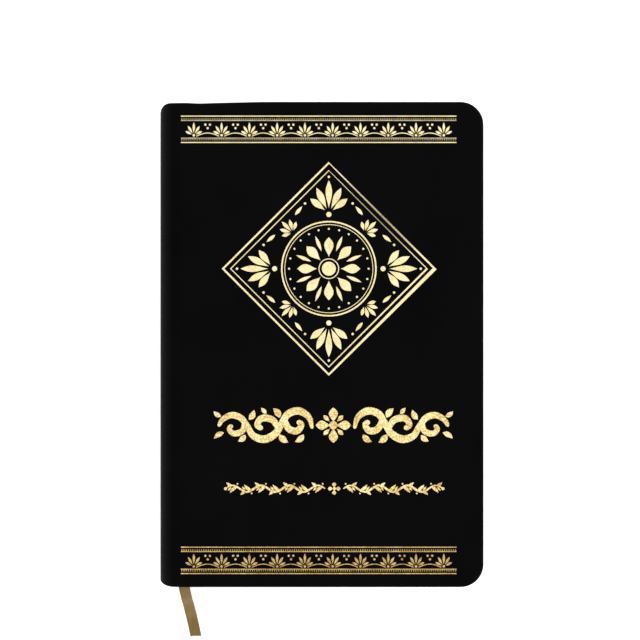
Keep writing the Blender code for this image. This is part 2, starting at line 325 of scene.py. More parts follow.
def striped_thread():
    """Silk thread wound round the band: two colours that change along the spine's curve."""
    nodes = Nodes("band_thread")
    parts = nodes.add("ShaderNodeSeparateXYZ", {"Vector": nodes.place})
    across = nodes.math("SUBTRACT", parts.outputs["X"], SHOULDER_X)
    up = nodes.math("SUBTRACT", parts.outputs["Z"], MIDDLE)
    turn = nodes.math("ARCTAN2", up, across)
    stripe = nodes.math("SINE", nodes.math("MULTIPLY", turn, 40.0))
    sharp = nodes.math("MULTIPLY_ADD", stripe, 6.0, clamp=True)
    sharp.node.inputs[2].default_value = 0.5
    fuzz = nodes.noise(3000.0, 3.0)
    tan = nodes.ramp(fuzz, (0.3, (0.20, 0.11, 0.045)), (0.7, (0.33, 0.20, 0.09)))
    cream = nodes.ramp(fuzz, (0.3, (0.58, 0.50, 0.36)), (0.7, (0.76, 0.69, 0.54)))
    nodes.set(Base_Color=nodes.mix(sharp, tan, cream))
    nodes.set(Roughness=nodes.ramp(fuzz, (0.3, 0.45), (0.7, 0.65)))
    nodes.shader.inputs["Sheen Weight"].default_value = 0.3
    nodes.bump(fuzz, 0.3, 0.03 * MM)
    return nodes.material


def board_material():
    """Pressed grey-brown board with specks of fibre."""
    nodes = Nodes("binders_board")
    speck = nodes.noise(700.0, 5.0, 0.7)
    nodes.set(Base_Color=nodes.ramp(speck, (0.3, (0.17, 0.145, 0.11)), (0.7, (0.36, 0.32, 0.26))))
    nodes.set(Roughness=nodes.ramp(speck, (0.3, 0.8), (0.7, 0.95)))
    nodes.bump(speck, 0.4, 0.06 * MM)
    return nodes.material


LEATHER = leather()
PALE_GOLD = gold("pale_gold_foil", (0.90, 0.80, 0.455), (0.83, 0.72, 0.375), (0.66, 0.52, 0.22),
                 0.13, 0.20, 0.42)
MOTTLED_GOLD = gold("mottled_gold_foil", (0.94, 0.85, 0.46), (0.78, 0.60, 0.23), (0.52, 0.32, 0.08),
                    0.09, 0.20, 0.42, fleck_scale=1100.0)
DULL_GOLD = gold("dull_gold_foil", (0.62, 0.56, 0.34), (0.46, 0.40, 0.22), (0.24, 0.20, 0.10),
                 0.13, 0.30, 0.45)
DEEP_GOLD = gold("deep_gold_foil", (0.86, 0.66, 0.30), (0.62, 0.42, 0.14), (0.30, 0.17, 0.04),
                 0.12, 0.45, 0.38)
PAGE = paper("page_paper", (0.66, 0.62, 0.53), (0.58, 0.54, 0.45))
ENDPAPER = paper("endpaper", (0.52, 0.47, 0.37), (0.45, 0.40, 0.30), 700.0)
GILT = gilt_edge()
SATIN = satin()
LINING = woven("lining_cloth", (0.56, 0.52, 0.43), (0.36, 0.33, 0.26), 0.5 * MM)
THREAD = woven("sewing_thread", (0.80, 0.77, 0.68), (0.60, 0.56, 0.47), 0.2 * MM)
BAND = striped_thread()
BOARD = board_material()


def finish_piece(obj, material, slot):
    obj.data.materials.clear()
    obj.data.materials.append(material)
    return obj


# ----------------------------------------------------------------- leather
def half_height(x, way):
    """How far the skin reaches towards the head or tail at x, caps and corners included."""
    along = x - SPINE_X
    width, depth = HEADCAP_SIZE if way > 0 else TAILCAP_SIZE
    reach = HALF_HEIGHT
    if along < width:
        reach -= depth * (1 - math.sqrt(max(0.0, 1 - ((width - along) / width) ** 2)))
    if way > 0:
        reach -= 0.45 * MM * smoothstep((-25 * MM - x) / (25 * MM))
        reach -= 0.25 * MM * math.exp(-((x - SHOULDER_X - 4.5 * MM) / (5 * MM)) ** 2)
    return reach


def roll_at(x):
    """The radius of the rolled edge: thin over the spine, half the cover's thickness beyond."""
    share = smoothstep((x - (SHOULDER_X - 3 * MM)) / (6 * MM))
    return SPINE_ROLL + (EDGE_ROLL - SPINE_ROLL) * share


def spine_column(turn):
    """(place, inward normal) on the outside of the spine; turn runs from -90 to 90 degrees."""
    x = SHOULDER_X - SPINE_DEPTH * math.cos(turn)
    z = MIDDLE + MIDDLE * math.sin(turn)
    inward = Vector((math.cos(turn) / SPINE_DEPTH, 0, -math.sin(turn) / MIDDLE)).normalized()
    return Vector((x, 0, z)), inward


def flat_columns(side):
    """Columns of a cover from the shoulder to the start of the rolled fore-edge."""
    z = MIDDLE + side * MIDDLE
    inner_end = FORE_X - EDGE_ROLL
    corner_start = FORE_X - CORNER
    places = spread(SHOULDER_X, SHOULDER_X + 6 * MM, 12)
    places += spread(SHOULDER_X + 6 * MM, corner_start, 14)[1:]
    places += [corner_start + (inner_end - corner_start) * math.sin(math.pi / 2 * step / 12)
               for step in range(1, 13)]
    return [(Vector((x, 0, z)), Vector((0, 0, -side))) for x in places]


def border(columns, rows):
    """The lattice inside the rolled edge, and its border as (point, outward, inward, roll)."""
    lattice, tail, head = [], [], []
    for place, inward in columns:
        roll = roll_at(place.x)
        past = place.x - (FORE_X - CORNER)
        ends = []
        for way in (-1, 1):
            outward = Vector((0, way, 0))
            reach = half_height(place.x, way) - roll
            if past > 0:
                inner_radius = CORNER - EDGE_ROLL
                rise = math.sqrt(max(0.0, inner_radius ** 2 - past ** 2))
                reach = HALF_HEIGHT - CORNER + rise
                outward = Vector((past, way * rise, 0)).normalized()
            ends.append((Vector((place.x, way * reach, place.z)), outward, inward, roll))
        tail.append(ends[0])
        head.append(ends[1])
        low, high = ends[0][0].y, ends[1][0].y
        lattice.append([Vector((place.x, low + (high - low) * row / rows, place.z))
                        for row in range(rows + 1)])
    fore = [(point, Vector((1, 0, 0)), columns[-1][1], EDGE_ROLL) for point in lattice[-1][1:-1]]
    return lattice, [*tail, *fore, *reversed(head)]


SKIN_ROWS, ROLL_STEPS = 36, 8


def skin(name, columns, outward):
    """Leather over a run of columns, rolled round its head, tail and fore-edge and turned in."""
    lattice, rim = border(columns, SKIN_ROWS)
    verts = [point for column in lattice for point in column]
    faces = lattice_faces(len(lattice), SKIN_ROWS + 1)
    rings = [[point for point, _, _, _ in rim]]
    for step in range(1, ROLL_STEPS + 1):
        angle = math.pi * step / ROLL_STEPS
        rings.append([point + way * roll * math.sin(angle) + inward * roll * (1 - math.cos(angle))
                      for point, way, inward, roll in rim])
    for width in TURN_IN_WIDTHS:
        rings.append([point - way * width * (roll / EDGE_ROLL) ** 2 + inward * 2 * roll
                      for point, way, inward, roll in rim])
    start = len(verts)
    verts += [point for ring in rings for point in ring]
    faces += lattice_faces(len(rings), len(rim), start=start)
    obj = mesh_object(name, verts, faces, smooth=60)
    face_out(obj, outward)
    thicken(obj, SKIN_THICKNESS)
    return finish_piece(obj, LEATHER, "cover_leather")


def leather_cover():
    """Two skins that meet half way up the front of the spine."""
    turns = spread(-math.pi / 2, SEAM_TURN, 60)
    back = [*reversed(flat_columns(-1)), *[spine_column(turn) for turn in turns[1:]]]
    back_skin = skin("back_and_spine_leather", list(reversed(back)), (0, 0, -1))
    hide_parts("back_cover_leather", "spine_leather_back")
    turns = spread(SEAM_TURN, math.pi / 2, 24)
    front = [*[spine_column(turn) for turn in turns[:-1]], *flat_columns(1)]
    front_skin = skin("front_leather", front, (0, 0, 1))
    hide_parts("front_cover_leather", "spine_leather_front")
    return back_skin, front_skin


def blend_over_opening(obj):
    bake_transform(obj)


def blend_over_shoulder(obj):
    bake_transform(obj)


back_skin, front_skin = leather_cover()
blend_over_opening(back_skin)
blend_over_shoulder(front_skin)


# ------------------------------------------------------------------- pages
def fore_edge(z):
    return FORE_EDGE_MIDDLE + FORE_EDGE_HOLLOW * ((z - MIDDLE) / BLOCK_HALF) ** 2


def page_outline(x_fold, x_fore, inset):
    """The trimmed outline of a page, round at the two fore-edge corners."""
    fore, half, radius = x_fore - inset, PAGE_HALF - inset, PAGE_CORNER - inset
    points = [(x_fold, -half)]
    for way in (-1, 1):
        angles = spread(0, math.pi / 2, 7)
        for angle in angles if way < 0 else reversed(angles):
            points.append((fore - radius + radius * math.sin(angle),
                           way * (half - radius + radius * math.cos(angle))))
    points.append((x_fold, half))
    return points


GATHERING_STEPS = 9


def gathering(name, low, high, fold_x):
    """A folded gathering: its sheets show as fine steps on the three trimmed edges."""
    levels = []
    thickness = (high - low) / GATHERING_STEPS
    middle, radius = (low + high) / 2, (high - low) / 2
    for sheet in range(GATHERING_STEPS):
        inset = RANDOM.uniform(0.0, 0.07) * MM
        bottom = low + sheet * thickness
        for share, extra in ((0.04, 0.05 * MM), (0.16, 0.0), (0.84, 0.0), (0.96, 0.05 * MM)):
            levels.append((bottom + share * thickness, inset + extra))
    levels = [(low, 0.1 * MM), *levels, (high, 0.1 * MM)]
    verts = []
    for z, inset in levels:
        nose = fold_x + 0.6 * (radius - math.sqrt(max(0.0, radius ** 2 - (z - middle) ** 2)))
        verts += [(x, y, z) for x, y in page_outline(nose, fore_edge(z), inset)]
    count = len(verts) // len(levels)
    faces = lattice_faces(len(levels), count, closed_rows=True)
    faces.append(tuple(range(count)))
    faces.append(tuple(range(len(verts) - count, len(verts))))
    obj = mesh_object(name, verts, faces, smooth=30)
    finish_piece(obj, PAGE, "page_paper")
    obj.data.materials.append(GILT)
    for face in obj.data.polygons:
        if abs(face.normal.z) < 0.75:
            face.material_index = 1
    return obj


def page_block():
    """A visual gathering for each signature, filling the small gap to its neighbours."""
    for number in range(1, 13):
        node = f"signature_{number:02d}"
        low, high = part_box(node)
        reach = 0.098 * MM
        piece = gathering(f"pages_{number:02d}", low.z - reach, high.z + reach, low.x)
        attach(piece, "back_half" if number <= 6 else "front_half")
        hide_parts(node)


page_block()


def sheet_lattice(fold_x, fore_x, half, corner, height, columns=34, rows=18):
    """A sheet as a lattice, round at the fore-edge corners; height gives z at (x, y)."""
    start = fore_x - corner
    places = spread(fold_x, fold_x + 20 * MM, 8) + spread(fold_x + 20 * MM, start, columns - 18)[1:]
    places += [start + corner * math.sin(math.pi / 2 * step / 10) for step in range(1, 11)]
    verts = []
    for x in places:
        past = max(0.0, x - start)
        reach = half - corner + math.sqrt(max(0.0, corner * corner - past * past))
        verts += [(x, y, height(x, y)) for y in spread(-reach, reach, rows)]
    return verts, lattice_faces(len(places), rows + 1)


def sheets(name, node, heights, fold_x, thickness, material, slot):
    """Thin sheets in place of a CAD node, gilt along their trimmed edges."""
    verts, faces = [], []
    for height in heights:
        inset = RANDOM.uniform(0.0, 0.08) * MM
        fore_x = fore_edge(height(FORE_EDGE_MIDDLE, 0.0)) - inset
        more, added = sheet_lattice(fold_x, fore_x, PAGE_HALF - inset, PAGE_CORNER, height)
        faces += [tuple(corner + len(verts) for corner in face) for face in added]
        verts += more
    piece = mesh_object(name, verts, faces)
    finish_piece(piece, material, slot)
    piece.data.materials.append(GILT)
    shell = thicken(piece, thickness, 0.0).modifiers["thickness"]
    shell.material_offset_rim = 1
    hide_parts(node)
    return piece


SHEETS_PER_LEAF = 4
LEAF_PITCH = 0.1375 * MM
LEAF_GROWTH = 0.047 * MM


def loose_leaves():
    """The leaves on each side of the opening; beyond the ribbon they close the gap it leaves."""
    for side, half in ((-1, "back"), (1, "front")):
        for leaf in (1, 2):
            heights = []
            for sheet in range(SHEETS_PER_LEAF):
                order = SHEETS_PER_LEAF * (leaf - 1) + sheet + 0.5

                def height(x, y, order=order):
                    beyond = smoothstep((x + 62 * MM) / (16 * MM))
                    gap = 1.45 * MM - order * (LEAF_PITCH + LEAF_GROWTH * beyond)
                    ripple = 0.012 * MM * math.sin(60 * y + 9 * order) * beyond
                    return MIDDLE + side * (gap + ripple)

                heights.append(height)
            piece = sheets(f"loose_leaves_{half}_{leaf}", f"leaves_{half}_{leaf}", heights, GUTTER_X,
                           0.12 * MM, PAGE, "page_paper")
            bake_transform(piece)


def from_middle(node):
    """How far a flat CAD sheet lies above or below the middle of the book."""
    low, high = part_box(node)
    return abs(low.z / 2 + high.z / 2 - MIDDLE)


def endpapers():
    """Flyleaves, pastedowns that show the turned-in leather under them, and the folds between."""
    for side, half in ((-1, "back"), (1, "front")):
        flyleaf_height, paste_height = from_middle(f"{half}_flyleaf"), from_middle(f"{half}_pastedown")

        def waving(x, y):
            return MIDDLE + side * (flyleaf_height + 0.03 * MM * math.sin(45 * x + 25 * y))

        flyleaf = sheets(f"{half}_flyleaf_sheet", f"{half}_flyleaf", [waving], -59.25 * MM, 0.16 * MM,
                         ENDPAPER, "endpaper")
        low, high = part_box(f"{half}_pastedown")
        edge_x, edge_y = FORE_X - 12 * MM, HALF_HEIGHT - 12 * MM

        def pasted(x, y):
            raised = max(smoothstep((x - edge_x) / (1.2 * MM)), smoothstep((abs(y) - edge_y) / (1.2 * MM)))
            pulp = 0.012 * MM * math.sin(310 * x) * math.sin(270 * y)
            return MIDDLE + side * (paste_height + 0.05 * MM - 0.1 * MM * raised + pulp)

        verts, faces = sheet_lattice(low.x, high.x, high.y, PAGE_CORNER, pasted, columns=90, rows=110)
        paste = mesh_object(f"{half}_pastedown_sheet", verts, faces)
        finish_piece(thicken(paste, 0.1 * MM, 0.0), ENDPAPER, "endpaper")
        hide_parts(f"{half}_pastedown")
        start, stop = flyleaf_height + 0.16 * MM, paste_height
        profile = [(-56.6 * MM, start), (-58.0 * MM, start)]
        profile += [(-59.3 * MM - 0.9 * MM * math.cos(turn),
                     start + (stop - start) * (0.5 + 0.5 * math.sin(turn)))
                    for turn in spread(-math.pi / 2, math.pi / 2, 14)]
        profile += [(-58.0 * MM, stop), (-56.4 * MM, stop)]
        rows = 24
        verts = [(x, y, MIDDLE + side * height) for x, height in profile
                 for y in spread(-PAGE_HALF + 0.5 * MM, PAGE_HALF - 0.5 * MM, rows)]
        fold = mesh_object(f"{half}_endpaper_fold", verts, lattice_faces(len(profile), rows + 1))
        finish_piece(thicken(fold, 0.1 * MM, 0.0), ENDPAPER, "endpaper")
        if side < 0:
            for piece in (flyleaf, paste, fold):
                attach(piece, "back_half")
        else:
            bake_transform(flyleaf)
            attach(paste, "front_cover")
            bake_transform(fold)


loose_leaves()
endpapers()


# ------------------------------------------------------ lining and sewing
LINING_OFFSET = 0.68 * MM
LINING_HALF = 106.0 * MM
BAND_OFFSET = 2.2 * MM
BAND_Y = 109.1 * MM
BAND_RADIUS = 0.78 * MM
BAND_TURNS = 120


def inside_spine(turn, offset):
    place, inward = spine_column(turn)
    return place + inward * offset


def spine_lining():
    """A strip of cloth glued over the folds of the gatherings, under the leather."""
    turns = spread(-math.radians(82), math.radians(82), 80)
    rows = 40
    verts = [inside_spine(turn, LINING_OFFSET) + Vector((0, y, 0))
             for turn in turns for y in spread(-LINING_HALF, LINING_HALF, rows)]
    lining = mesh_object("spine_lining_cloth", verts, lattice_faces(len(turns), rows + 1))
    finish_piece(thicken(lining, 0.2 * MM, 0.0), LINING, "lining_cloth")
    blend_over_opening(lining)
    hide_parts("spine_lining_back", "spine_lining_front")


def wound_band(end, way):
    """A headband or tailband: thread wound in close ribs over a core, with a bead along its foot."""
    verts, faces = [], []
    for drop, across, thickness in ((0.0, 0.0, BAND_RADIUS), (-0.75 * MM, 0.25 * MM, 0.3 * MM)):
        sides, steps = 12, BAND_TURNS * 4
        start = len(verts)
        turns = spread(-math.radians(77), math.radians(77), steps)
        for index, turn in enumerate(turns):
            place, inward = spine_column(turn)
            middle = place + inward * (BAND_OFFSET + across) + Vector((0, way * (BAND_Y + drop), 0))
            radius = thickness * (0.94 + 0.06 * math.cos(2 * math.pi * index / 4))
            for side in range(sides):
                angle = 2 * math.pi * side / sides
                verts.append(middle + inward * radius * math.cos(angle)
                             + Vector((0, radius * math.sin(angle), 0)))
        faces += lattice_faces(steps + 1, sides, closed_rows=True, start=start)
        faces.append(tuple(range(start, start + sides)))
        faces.append(tuple(range(len(verts) - sides, len(verts))))
    band = mesh_object(f"wound_{end}", verts, faces, smooth=70)
    finish_piece(band, BAND, "band_thread")
    blend_over_opening(band)
    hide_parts(f"{end}_back", f"{end}_front")


spine_lining()
wound_band("headband", 1)
wound_band("tailband", -1)

# ------------------------------------------------------------------ ribbon
RIBBON_WIDTH = 5.0 * MM
RIBBON_THICKNESS = 0.2 * MM
RIBBON_ROUTE = [
    (-68.0, 109.4, 15.0),
    (-68.1, 104.0, 15.0),
    (-68.3, 90.0, 15.0),
    (-68.4, 70.0, 15.0),
    (-68.3, 50.0, 15.0),
    (-68.0, 30.0, 15.0),
    (-67.7, 10.0, 15.0),
    (-67.4, -10.0, 15.0),
    (-67.1, -30.0, 15.0),
    (-66.8, -50.0, 15.0),
    (-66.4, -68.0, 15.0),
    (-65.8, -84.0, 15.0),
    (-65.0, -97.0, 15.0),
    (-64.3, -104.0, 15.0),
    (-63.75, -108.5, 15.0),
    (-63.15, -111.9, 14.47),
    (-62.45, -115.3, 12.72),
    (-61.95, -117.8, 10.26),
    (-61.6, -119.2, 7.62),
    (-61.3, -120.7, 4.99),
    (-60.75, -123.2, 2.53),
    (-59.95, -126.6, 0.78),
    (-59.1, -130.3, 0.25),
    (-58.6, -132.7, 0.25),
    (-58.1, -135.0, 0.25),
]


def ribbon():
    """The marker: a woven strip, slightly crowned across its width, with a straight-cut end."""
    route = [Vector(point) * MM for point in through(RIBBON_ROUTE)]
    across_steps = 10
    verts = []
    for index, point in enumerate(route):
        along = route[min(index + 1, len(route) - 1)] - route[max(index - 1, 0)]
        along.normalize()
        side = along.cross(Vector((0, 0, 1))).normalized()
        up = side.cross(along)
        for step in range(across_steps + 1):
            share = 2 * step / across_steps - 1
            place = point + side * share * RIBBON_WIDTH / 2 + up * 0.03 * MM * (1 - share ** 2)
            if index == len(route) - 1:
                place.x += (route[-1].y - place.y) * along.x / along.y
                place.y = route[-1].y
            verts.append(place)
    faces = lattice_faces(len(route), across_steps + 1)
    piece = mesh_object("ribbon", verts, faces)
    face_out(piece, (0, 0, 1))
    thicken(piece, RIBBON_THICKNESS, 0.0)
    finish_piece(piece, SATIN, "ribbon_satin")
    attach(piece, "back_leaf_2")
    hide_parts("ribbon_marker")


ribbon()

# --------------------------------------------------------------- gold foil
FOIL_HEIGHT = 0.055 * MM
FOIL_ROOT = 0.04 * MM
FOIL_SLOPE = 0.03 * MM
LAYER_STEP = 0.0006 * MM
SAMPLE = 0.4


def surface_height(x):
    """The top of the front leather at x, curving down beyond the shoulder."""
    if x >= SHOULDER_X:
        return THICKNESS
    share = (SHOULDER_X - x) / SPINE_DEPTH
    return MIDDLE + MIDDLE * math.sqrt(max(0.0, 1 - share * share))


def polar(centre, radius, degrees):
    """The point at a distance and an angle from a centre."""
    angle = math.radians(degrees)
    return (centre[0] + radius * math.cos(angle), centre[1] + radius * math.sin(angle))


def arc(centre, radius, start, stop, steps):
    """Points of an arc between two angles in degrees."""
    return [polar(centre, radius, angle) for angle in spread(start, stop, steps)]


def turned(points, quarter=0, mirror=False, slant=0.0):
    """Points mirrored left to right, then turned by quarter turns and a slant in degrees."""
    angle = math.radians(90 * quarter + slant)
    cos, sin = math.cos(angle), math.sin(angle)
    flip = -1 if mirror else 1
    return [(flip * x * cos - y * sin, flip * x * sin + y * cos) for x, y in points]


def resampled(line, spacing):
    """(distance of each point, evenly spaced distances, whole length) of a line."""
    marks = [0.0]
    for a, b in zip(line, line[1:]):
        marks.append(marks[-1] + math.dist(a, b))
    total = marks[-1]
    count = max(3, math.ceil(total / spacing))
    wanted = [total * index / count for index in range(count + 1)]
    return marks, wanted, total


def point_at(line, marks, distance):
    """The point at a distance along a line whose points lie at the distances in marks."""
    index = 0
    while index < len(marks) - 2 and marks[index + 1] < distance:
        index += 1
    span = max(marks[index + 1] - marks[index], 1e-9)
    share = (distance - marks[index]) / span
    (ax, ay), (bx, by) = line[index], line[index + 1]
    return (ax + (bx - ax) * share, ay + (by - ay) * share)


def width_at(widths, share):
    """A width read off a list of widths spread evenly along a stroke."""
    place = min(max(share, 0.0), 1.0) * (len(widths) - 1)
    index = min(int(place), len(widths) - 2)
    return widths[index] + (widths[index + 1] - widths[index]) * (place - index)


class Foil:
    """One film of foil: a set of thin raised strokes and spots, measured in mm from its centre."""

    def __init__(self, name, centre):
        self.name = name
        self.centre = centre
        self.verts = []
        self.faces = []
        self.layers = 0

    def lift(self, x, y, height):
        place_x = self.centre[0] + x * MM
        return (place_x, self.centre[1] + y * MM, surface_height(place_x) + height)

    def height(self):
        """Each stroke stands a little above the last, so that no two tops share a plane."""
        self.layers = (self.layers + 1) % 24
        return FOIL_HEIGHT + self.layers * LAYER_STEP

    def sections(self, middle, halves, closed=False, mitre=False):
        """A strip with sloping sides over cross-sections along a line."""
        height = self.height()
        slope = FOIL_SLOPE / MM
        count = len(middle)
        start = len(self.verts)
        for index, ((x, y), half) in enumerate(zip(middle, halves)):
            before = middle[index - 1] if closed or index else middle[0]
            after = middle[(index + 1) % count] if closed or index < count - 1 else middle[-1]
            along = Vector((after[0] - before[0], after[1] - before[1])).normalized()
            normal = Vector((-along.y, along.x))
            stretch = 1.0
            if mitre and 0 < index < count - 1:
                leg = Vector((after[0] - x, after[1] - y)).normalized()
                stretch = 1 / max(0.4, abs(leg.dot(along)))
            outer, inner = half * stretch, max(half - slope, 0.0) * stretch
            for side, level in ((outer, -FOIL_ROOT), (inner, height), (-inner, height), (-outer, -FOIL_ROOT)):
                self.verts.append(self.lift(x + normal.x * side, y + normal.y * side, level))
        spans = count if closed else count - 1
        for index in range(spans):
            here, there = start + 4 * index, start + 4 * ((index + 1) % count)
            for corner in range(4):
                following = (corner + 1) % 4
                self.faces.append((here + corner, there + corner, there + following, here + following))
        if not closed:
            self.faces.append((start, start + 1, start + 2, start + 3))
            last = start + 4 * (count - 1)
            self.faces.append((last + 3, last + 2, last + 1, last))

    def stroke(self, points, widths, closed=False, smooth=True, blunt=False):
        """A line of foil with a width, or widths, along it; its ends are round unless blunt."""
        widths = widths if isinstance(widths, (list, tuple)) else (widths, widths)
        if not smooth:
            self.sections(points, [widths[0] / 2] * len(points), mitre=True)
            return
        line = through(points, closed)
        if closed:
            line.append(line[0])
        marks, wanted, total = resampled(line, SAMPLE)
        if closed:
            middle = [point_at(line, marks, distance) for distance in wanted[:-1]]
            self.sections(middle, [width_at(widths, distance / total) / 2 for distance in wanted[:-1]],
                          closed=True)
            return
        if not blunt:
            first, last = widths[0] / 2, widths[-1] / 2
            turns = [math.radians(angle) for angle in (0, 25, 50, 72)]
            wanted = [*[min(total / 3, first * (1 - math.cos(turn))) for turn in turns],
                      *[distance for distance in wanted if first < distance < total - last],
                      *[total - min(total / 3, last * (1 - math.cos(turn))) for turn in reversed(turns)]]
        halves = []
        for distance in wanted:
            half = width_at(widths, distance / total) / 2
            for cap, gap in ((widths[0] / 2, distance), (widths[-1] / 2, total - distance)):
                if not blunt and gap < cap:
                    half = min(half, math.sqrt(max(0.0, cap * cap - (cap - gap) ** 2)))
            halves.append(half)
        self.sections([point_at(line, marks, distance) for distance in wanted], halves)

    def leaf(self, start, stop, width, fullness=0.5, bend=0.0):
        """A leaf with pointed ends; fullness is where along it the leaf is widest."""
        (ax, ay), (bx, by) = start, stop
        steps = 12
        middle, halves = [], []
        for index in range(steps + 1):
            t = index / steps
            warped = t ** (math.log(0.5) / math.log(fullness))
            swell = math.sin(math.pi * warped)
            sway = bend * math.sin(math.pi * t)
            middle.append((ax + (bx - ax) * t - (by - ay) * sway, ay + (by - ay) * t + (bx - ax) * sway))
            halves.append(width / 2 * swell)
        self.sections(middle, halves)

    def placed_leaf(self, ends, width, quarter=0, mirror=False, slant=0.0, fullness=0.5, bend=0.0):
        """A leaf between two points that are mirrored and turned first, as turned() says."""
        start, stop = turned(ends, quarter, mirror, slant)
        self.leaf(start, stop, width, fullness=fullness, bend=-bend if mirror else bend)

    def spot(self, x, y, radius):
        """A round spot."""
        height = self.height()
        count = max(10, round(radius * 14))
        start = len(self.verts)
        slope = FOIL_SLOPE / MM
        for reach, level in ((radius, -FOIL_ROOT), (radius - slope, height)):
            for index in range(count):
                angle = 2 * math.pi * index / count
                self.verts.append(self.lift(x + reach * math.cos(angle), y + reach * math.sin(angle), level))
        for index in range(count):
            following = (index + 1) % count
            self.faces.append((start + index, start + following, start + count + following,
                               start + count + index))
        self.faces.append(tuple(range(start + count, start + 2 * count)))
        self.faces.append(tuple(reversed(range(start, start + count))))

    def block(self, x0, x1, y0, y1, parts=1):
        """A straight bar, cut along X into parts so that it can bend with the leather."""
        middle = [(x0 + (x1 - x0) * index / parts, (y0 + y1) / 2) for index in range(parts + 1)]
        self.sections(middle, [(y1 - y0) / 2] * (parts + 1))

    def build(self, material, node):
        obj = mesh_object(self.name, self.verts, self.faces, smooth=35)
        finish_piece(obj, material, "gold_foil")
        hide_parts(node)
        return obj


FAN_LEAVES = 5
FAN_SHORTENING = 0.28
FAN_GAP = 0.15


def leaf_fan(foil, base, heading, length, width, half_spread):
    """Plain leaves fanned out from a point, the outer ones shorter."""
    for index in range(FAN_LEAVES):
        lean = 2 * index / (FAN_LEAVES - 1) - 1
        angle = heading + half_spread * lean
        reach = length * (1 - FAN_SHORTENING * abs(lean))
        foil.leaf(polar(base, FAN_GAP * length, angle), polar(base, reach, angle), width, fullness=0.58)


# Border bands: two lines, two toothed strips and a row of leaf fans joined by low arches
BAND_LEFT, BAND_RIGHT = -64.3, 61.7
BAND_PITCH = 12.7
BAND_FIRST = -58.4
BAND_COUNT = 10
BAND_LINE_Y, BAND_LINE_WIDTH = 6.02, 0.5
BAND_STRIP_Y, BAND_STRIP_WIDTH = 4.02, 0.42
TOOTH_PITCH = 1.02
FAN_BASE_Y = -2.75
ARCH_HEIGHT = 1.5


def band_arch(foil, start, stop):
    """A low arch between two fans, and three beads over its middle."""
    steps = 10
    line = [(start + (stop - start) * step / steps,
             FAN_BASE_Y - 0.45 + ARCH_HEIGHT * math.sin(math.pi * step / steps)) for step in range(steps + 1)]
    foil.stroke(line, 0.42)
    middle = (start + stop) / 2
    for across, y in ((-1.05, 2.1), (1.05, 2.1), (0.0, 0.5)):
        foil.spot(middle + across, y, 0.55)


def border_band(name, node, centre_y, material, strip_material):
    """Two outer lines, a toothed strip inside each, and the row of fans and arches."""
    foil = Foil(name, (0.0, centre_y))
    strips = Foil(name + "_strips", (0.0, centre_y))
    teeth = round((BAND_RIGHT - BAND_LEFT) / TOOTH_PITCH)
    for side in (-1, 1):
        for film, y, width in ((foil, BAND_LINE_Y, BAND_LINE_WIDTH),
                               (strips, BAND_STRIP_Y, BAND_STRIP_WIDTH)):
            film.block(BAND_LEFT, BAND_RIGHT, side * y - width / 2, side * y + width / 2, parts=160)
        for x in spread(BAND_LEFT + 0.4, BAND_RIGHT - 0.4, teeth):
            strips.stroke([(x, side * 4.1), (x, side * 5.05)], 0.36, blunt=True)
    centres = [BAND_FIRST + BAND_PITCH * index for index in range(BAND_COUNT)]
    for x in centres:
        leaf_fan(foil, (x, FAN_BASE_Y), 90, 5.9, 1.15, 64)
        foil.spot(x, FAN_BASE_Y, 0.6)
    for start, stop in zip(centres, centres[1:]):
        band_arch(foil, start + 1.1, stop - 1.1)
    blend_over_shoulder(foil.build(material, node))
    blend_over_shoulder(strips.build(strip_material, node))


# Medallion: a plain lozenge, a ring, a daisy and leaf fans, measured in mm from its centre
LOZENGE_OUTER, LOZENGE_INNER = 48.4, 44.9
RING_RADIUS = 21.5
DAISY_PETALS = 8


def lozenge(foil, half_diagonal, width):
    """A lozenge on its corner, drawn as one mitred line that starts halfway along a side."""
    half = half_diagonal
    corners = [(half / 2, half / 2), (0, half), (-half, 0), (0, -half), (half, 0), (half / 2, half / 2)]
    foil.stroke(corners, width, smooth=False)


def daisy(foil):
    """A boss, broad petals, narrow leaves between them, and a circle of beads."""
    foil.spot(0, 0, 3.2)
    foil.stroke(arc((0, 0), 4.5, 0, 330, steps=11), 0.45, closed=True)
    step = 360 / DAISY_PETALS
    for index in range(DAISY_PETALS):
        angle = step * index
        foil.leaf(polar((0, 0), 5.4, angle), polar((0, 0), 14.4, angle), 4.3, fullness=0.6)
        foil.leaf(polar((0, 0), 8.6, angle + step / 2), polar((0, 0), 16.2, angle + step / 2), 1.6)
        for share in (0, 1 / 3, 2 / 3):
            foil.spot(*polar((0, 0), 18.2, angle + step * share), 0.5)


def medallion_corner(foil, quarter):
    """The large fan that points into one corner of the lozenge, and its beads."""
    heading = 90 + 90 * quarter
    leaf_fan(foil, polar((0, 0), 25.4, heading), heading, 15.0, 3.0, 52)
    for radius, size in ((24.8, 1.2), (42.0, 0.6)):
        foil.spot(*polar((0, 0), radius, heading), size)


def medallion_side(foil, quarter):
    """The small fan on the ring at the middle of one side, with a leaf and a bead beyond it."""
    heading = 45 + 90 * quarter
    leaf_fan(foil, polar((0, 0), 23.1, heading), heading, 7.4, 1.7, 60)
    for mirror in (False, True):
        foil.placed_leaf([(6.4, 28.3), (11.6, 28.8)], 1.6, quarter, mirror, slant=-45.0, fullness=0.45)
        foil.spot(*turned([(13.4, 28.8)], quarter, mirror, slant=-45.0)[0], 0.6)


